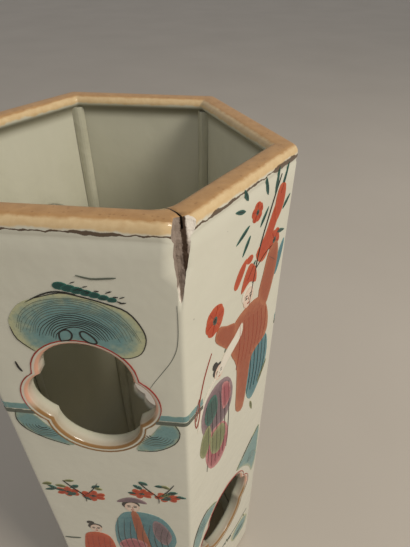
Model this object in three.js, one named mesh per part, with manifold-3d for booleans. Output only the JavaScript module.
// Hexagonal openwork vase of the hat-stand kind, in glazed porcelain, built from luted clay slabs.
// Millimetres, +Z up. The origin is the centre of the foot, on the ground.
// The front wall faces -Y. It has its window near the rim, and the windows alternate
// between high and low from wall to wall.
import * as THREE from 'three';
import { mergeVertices } from 'three/addons/utils/BufferGeometryUtils.js';
import Module from 'manifold-3d';

const wasm = await Module();
wasm.setup();

// Body.
const SIDE = 62; // side of the outer hexagon, which is also its corner radius
const HEIGHT = 282; // foot to rim
const WALL = 6; // thickness of a wall slab
const SLIP = 0.3; // slip joint left between two luted pieces
const ARRIS = 2; // rounding of the six upright corners
const FOOT_ROUND = 1.4; // rounding of the slab ends that stand on the ground

// Rim frame, laid on the wall slabs and overhanging inwards.
const RIM_WIDTH = 8.5;
const RIM_HEIGHT = 4;
const RIM_OUTER_ROLL = 1.8;
const RIM_INNER_ROLL = 1.5;

// Windows: four lobes about a centre, upright ones larger than side ones.
const UPRIGHT_LOBE = { radius: 16.5, offset: 11.5 };
const SIDE_LOBE = { radius: 15.3, offset: 7.7 };
const WINDOW_ROLL = 1.2; // rounding of the window edges, inside and outside
const HIGH_WINDOW_DROP = 68; // centre of a high window below the rim
const LOW_WINDOW_RISE = 88; // centre of a low window above the ground
const LOBE_STEPS = 14; // facets along one lobe
const ROLL_STEPS = 3; // facets across one rounded window edge

// Floor of the vase and the clay coils that lute it and the corners.
const BASE_RECESS = 8; // underside of the floor above the ground
const BASE_THICKNESS = 6;
const BASE_COIL = 4.5; // leg of the coil along the floor
const CORNER_COIL = 3; // leg of an upright corner coil
const CORNER_COIL_BULGE = 2.8;
const COIL_CLEARANCE = 0.25; // corner coil to window edge
const COIL_WAVE = 0.3; // how far a hand-pressed coil swells and thins
const COIL_PITCH = 23; // length of its main wave
const COIL_STEP = 9; // height of one facet of a corner coil
const COIL_ARC = 5; // facets round its bulge

// Flaked corner between the front and front right walls, where the joint has opened.
const CHIP_DROP = 23.5; // height of the flaked part below the rim
const CHIP_FRONT = 1.9; // its width on the front wall, at the rim
const CHIP_RIGHT = 8.6; // its width on the front right wall, at the rim
const CHIP_DEPTH = 3.4; // its depth at the joint
const CHIP_ROUGH = 0.35;
const CHIP_STEPS = 8;

// Values that follow from the sizes above.
const WALLS = ['front', 'front_right', 'back_right', 'back', 'back_left', 'front_left'];
const CORNERS = ['front_right', 'right', 'back_right', 'back_left', 'left', 'front_left'];
const SECTOR = Math.PI / 3;
const COS30 = Math.cos(Math.PI / 6);
const TAN30 = Math.tan(Math.PI / 6);
const APOTHEM = SIDE * COS30;
const WALL_TOP = HEIGHT - RIM_HEIGHT - SLIP;
const BASE_TOP = BASE_RECESS + BASE_THICKNESS;
const INNER = WALL + SLIP; // depth at which a piece inside the walls starts
const MARGIN = 2; // how far a cutter runs past what it cuts

const GLAZE = { color: 0xcfccbd, roughness: 0.16, metalness: 0 };
const RIM_GLAZE = { color: 0xcda069, roughness: 0.34, metalness: 0 };
const COIL_GLAZE = { color: 0xb5ad90, roughness: 0.3, metalness: 0 };
const BARE_CLAY = { color: 0xb3a184, roughness: 0.85, metalness: 0 };

// Half length of a wall piece at a depth behind the outer face, up to its mitre.
const mitre = (depth) => SIDE / 2 - depth * TAN30 - SLIP / 2 / COS30;

function toSolid(geometry) {
  const bare = new THREE.BufferGeometry();
  bare.setAttribute('position', geometry.getAttribute('position'));
  bare.setIndex(geometry.getIndex());
  const merged = mergeVertices(bare, 1e-4);
  return new wasm.Manifold(new wasm.Mesh({
    numProp: 3,
    vertProperties: new Float32Array(merged.getAttribute('position').array),
    triVerts: new Uint32Array(merged.getIndex().array),
  }));
}

function toGeometry(body) {
  const { vertProperties, triVerts } = body.getMesh();
  const geometry = new THREE.BufferGeometry();
  geometry.setAttribute('position', new THREE.BufferAttribute(new Float32Array(vertProperties), 3));
  geometry.setIndex(new THREE.BufferAttribute(new Uint32Array(triVerts), 1));
  geometry.computeVertexNormals();
  return geometry;
}

// Solid through rings of points. A ring runs anticlockwise seen from the last ring's side.
function loft(rings) {
  const count = rings[0].length;
  const points = rings.flat();
  const index = [];
  for (let level = 0; level < rings.length - 1; level += 1) {
    for (let i = 0; i < count; i += 1) {
      const near = level * count;
      const next = (i + 1) % count;
      index.push(near + i, near + next, near + count + next);
      index.push(near + i, near + count + next, near + count + i);
    }
  }
  [0, rings.length - 1].forEach((level) => {
    const hub = new THREE.Vector3();
    rings[level].forEach((point) => hub.addScaledVector(point, 1 / count));
    points.push(hub);
    for (let i = 0; i < count; i += 1) {
      const pair = [level * count + i, level * count + ((i + 1) % count)];
      if (level === 0) pair.reverse();
      index.push(points.length - 1, ...pair);
    }
  });
  const geometry = new THREE.BufferGeometry().setFromPoints(points);
  geometry.setIndex(index);
  return toSolid(geometry);
}

// Points along an arc in depth and height.
function arc(depth, z, radius, from, sweep, steps = 4) {
  return Array.from({ length: steps + 1 }, (_, i) => {
    const angle = from + (sweep * i) / steps;
    return new THREE.Vector2(depth + radius * Math.cos(angle), z + radius * Math.sin(angle));
  });
}

// Rectangle in depth and height, with a radius at each corner, anticlockwise from the
// corner with the least depth and height.
function roundedSection(d0, z0, d1, z1, radii) {
  const corners = [[d0, z0, 1, 1], [d1, z0, -1, 1], [d1, z1, -1, -1], [d0, z1, 1, -1]];
  return corners.flatMap(([depth, z, inDepth, inZ], i) => {
    const radius = radii[i];
    if (radius === 0) return [new THREE.Vector2(depth, z)];
    const start = Math.PI + (i * Math.PI) / 2;
    return arc(depth + inDepth * radius, z + inZ * radius, radius, start, Math.PI / 2);
  });
}

// Bar along one wall with a section in depth and height and both ends cut on the mitre.
// Its own frame has X along the wall, Y inwards from the outer face and Z up.
function mitredBar(section) {
  const geometry = new THREE.ExtrudeGeometry(new THREE.Shape(section), {
    depth: 1,
    bevelEnabled: false,
  });
  const position = geometry.getAttribute('position');
  for (let i = 0; i < position.count; i += 1) {
    const depth = position.getX(i);
    const end = position.getZ(i) > 0.5 ? 1 : -1;
    position.setXYZ(i, end * mitre(depth), depth, position.getY(i));
  }
  return toSolid(geometry);
}

// Hexagonal prism with rounded upright edges, in the frame of a wall.
function roundedPrism() {
  const outline = CORNERS.flatMap((_, k) => {
    const angle = -SECTOR + k * SECTOR;
    const reach = SIDE - ARRIS / COS30;
    const from = angle - SECTOR / 2;
    return arc(reach * Math.cos(angle), reach * Math.sin(angle), ARRIS, from, SECTOR, 3);
  });
  const geometry = new THREE.ExtrudeGeometry(new THREE.Shape(outline), {
    depth: HEIGHT + 2 * MARGIN,
    bevelEnabled: false,
  });
  return toSolid(geometry).translate([0, APOTHEM, -MARGIN]);
}

// Distance from the window centre to one lobe's edge, seen at an angle from upright.
function lobeReach(lobe, fromAxis, grow) {
  const along = lobe.offset * Math.cos(fromAxis);
  return along + Math.sqrt((lobe.radius + grow) ** 2 - lobe.offset ** 2 + along ** 2);
}

// Angle from upright at which the upright lobe meets the side lobe.
function notchAngle(grow) {
  let low = 0;
  let high = Math.PI / 2;
  while (high - low > 1e-6) {
    const middle = (low + high) / 2;
    const upright = lobeReach(UPRIGHT_LOBE, middle, grow);
    const side = lobeReach(SIDE_LOBE, Math.PI / 2 - middle, grow);
    if (upright > side) low = middle;
    else high = middle;
  }
  return low;
}

// Outline of the window at a depth, grown by the rounding of its edge.
function windowRing(depth, grow, centreZ) {
  const notch = notchAngle(grow);
  const ring = [];
  for (let lobe = 0; lobe < 4; lobe += 1) {
    const upright = lobe % 2 === 0;
    const spread = upright ? notch : Math.PI / 2 - notch;
    for (let i = 0; i < LOBE_STEPS; i += 1) {
      const fromAxis = spread * ((2 * i) / LOBE_STEPS - 1);
      const reach = lobeReach(upright ? UPRIGHT_LOBE : SIDE_LOBE, fromAxis, grow);
      const angle = (lobe * Math.PI) / 2 + fromAxis;
      ring.push(new THREE.Vector3(
        reach * Math.sin(angle), depth, centreZ + reach * Math.cos(angle),
      ));
    }
  }
  return ring;
}

// Cutter for a window: straight through the slab, flaring round both edges.
function windowCutter(centreZ) {
  const outer = [];
  const inner = [];
  for (let step = 0; step <= ROLL_STEPS; step += 1) {
    const angle = (step / ROLL_STEPS) * (Math.PI / 2);
    const depth = WINDOW_ROLL * (1 - Math.cos(angle));
    const grow = WINDOW_ROLL * (1 - Math.sin(angle));
    outer.push(windowRing(depth, grow, centreZ));
    inner.unshift(windowRing(WALL - depth, grow, centreZ));
  }
  return loft([
    windowRing(-MARGIN, WINDOW_ROLL, centreZ),
    ...outer,
    ...inner,
    windowRing(WALL + MARGIN, WINDOW_ROLL, centreZ),
  ]);
}

// Wedge that the flaked corner has lost, in the frame of the whole vase.
function chipCutter() {
  const corner = new THREE.Vector3(SIDE / 2, -APOTHEM, 0);
  const alongFront = new THREE.Vector3(-1, 0, 0);
  const alongRight = new THREE.Vector3(Math.cos(SECTOR), Math.sin(SECTOR), 0);
  const outwards = new THREE.Vector3(Math.cos(SECTOR), -Math.sin(SECTOR), 0);
  const rings = Array.from({ length: CHIP_STEPS + 1 }, (_, i) => {
    const rise = 0.02 + (0.98 * i) / CHIP_STEPS;
    const z = HEIGHT - CHIP_DROP + (CHIP_DROP + MARGIN) * rise;
    const rough = 1 + CHIP_ROUGH * Math.sin(2.4 * i) * (1 - rise);
    const at = (direction, size) => corner.clone().addScaledVector(direction, size).setZ(z);
    const front = at(alongFront, CHIP_FRONT * rise ** 0.4);
    const right = at(alongRight, CHIP_RIGHT * (0.5 * rise ** 0.8 + 0.5 * rise ** 5) * rough);
    const deep = at(outwards, -CHIP_DEPTH * rise ** 0.5 * rough);
    const past = (point) => point.clone().add(point.clone().sub(deep));
    return [deep, past(right), at(outwards, CHIP_RIGHT), past(front)].reverse();
  });
  return loft(rings);
}

function wallSlab(index) {
  const section = roundedSection(0, 0, WALL, WALL_TOP, [FOOT_ROUND, FOOT_ROUND, 0, 0]);
  const high = index % 2 === 0;
  const centreZ = high ? HEIGHT - HIGH_WINDOW_DROP : LOW_WINDOW_RISE;
  return mitredBar(section).subtract(windowCutter(centreZ));
}

function rimStrip() {
  const radii = [0, RIM_INNER_ROLL, RIM_INNER_ROLL, RIM_OUTER_ROLL];
  return mitredBar(roundedSection(0, HEIGHT - RIM_HEIGHT, RIM_WIDTH, HEIGHT, radii));
}

// Rounds the ends at the upright corners, and flakes the two that meet at the chip.
function dressEnds(body, index) {
  const rounded = body.intersect(roundedPrism());
  if (index > 1) return rounded;
  return rounded.subtract(chipCutter().rotate([0, 0, -60 * index]).translate([0, APOTHEM, 0]));
}

// Coil pressed into the joint between the floor and one wall.
function baseCoil() {
  const foot = BASE_TOP + SLIP;
  const bulge = arc(INNER, foot, BASE_COIL, 0, Math.PI / 2, COIL_ARC);
  return mitredBar([new THREE.Vector2(INNER, foot), ...bulge]);
}

// Coil pressed into one inner corner by hand, so it swells and thins on its way up.
// Its own frame has X out towards the corner and the origin on the axis of the vase.
function cornerCoil(index) {
  const bottom = BASE_TOP + BASE_COIL + 2 * SLIP;
  const top = WALL_TOP - SLIP;
  const land = mitre(WALL) - (SIDE_LOBE.offset + SIDE_LOBE.radius) - WINDOW_ROLL - COIL_CLEARANCE;
  const leg = Math.min(CORNER_COIL, land);
  const root = SIDE - INNER / COS30;
  const levels = Math.round((top - bottom) / COIL_STEP);
  const rings = Array.from({ length: levels + 1 }, (_, level) => {
    const z = bottom + ((top - bottom) * level) / levels;
    const phase = (2 * Math.PI * z) / COIL_PITCH + index;
    const wave = COIL_WAVE * (0.6 * Math.sin(phase) + 0.4 * Math.sin(2.7 * phase));
    const bulge = CORNER_COIL_BULGE + wave;
    const chord = leg * Math.cos(SECTOR);
    const ring = [new THREE.Vector3(root, 0, z)];
    for (let i = 0; i <= COIL_ARC; i += 1) {
      const across = 1 - (2 * i) / COIL_ARC;
      const inwards = chord + (bulge - chord) * Math.cos((across * Math.PI) / 2);
      ring.push(new THREE.Vector3(root - inwards, across * leg * Math.sin(SECTOR), z));
    }
    return ring;
  });
  return loft(rings);
}

const vase = new THREE.Group();
vase.name = 'openwork_vase';

function addPart(parent, name, body, finish) {
  const mesh = new THREE.Mesh(toGeometry(body), new THREE.MeshStandardMaterial(finish));
  mesh.name = name;
  parent.add(mesh);
  return mesh;
}

// One bay for each wall, turned about the axis, with its wall, rim strip and floor coil.
WALLS.forEach((name, index) => {
  const bay = new THREE.Group();
  bay.name = `bay_${name}`;
  bay.rotation.z = index * SECTOR;
  vase.add(bay);
  const parts = [
    addPart(bay, `wall_slab_${name}`, dressEnds(wallSlab(index), index), GLAZE),
    addPart(bay, `rim_strip_${name}`, dressEnds(rimStrip(), index), RIM_GLAZE),
    addPart(bay, `base_coil_${name}`, baseCoil(), COIL_GLAZE),
  ];
  parts.forEach((mesh) => mesh.position.set(0, -APOTHEM, 0));
});

CORNERS.forEach((name, index) => {
  const coil = addPart(vase, `corner_coil_${name}`, cornerCoil(index), COIL_GLAZE);
  coil.rotation.z = (index - 1) * SECTOR;
});

// Floor: a hexagonal slab inside the walls, raised so that the vase stands on its walls.
const floorShape = new THREE.Shape(CORNERS.map((_, index) => {
  const reach = SIDE - INNER / COS30;
  return new THREE.Vector2(reach * Math.cos(index * SECTOR), reach * Math.sin(index * SECTOR));
}));
const floorBody = toSolid(new THREE.ExtrudeGeometry(floorShape, {
  depth: BASE_THICKNESS,
  bevelEnabled: false,
}));
addPart(vase, 'base_slab', floorBody, BARE_CLAY).position.z = BASE_RECESS;

export default vase;
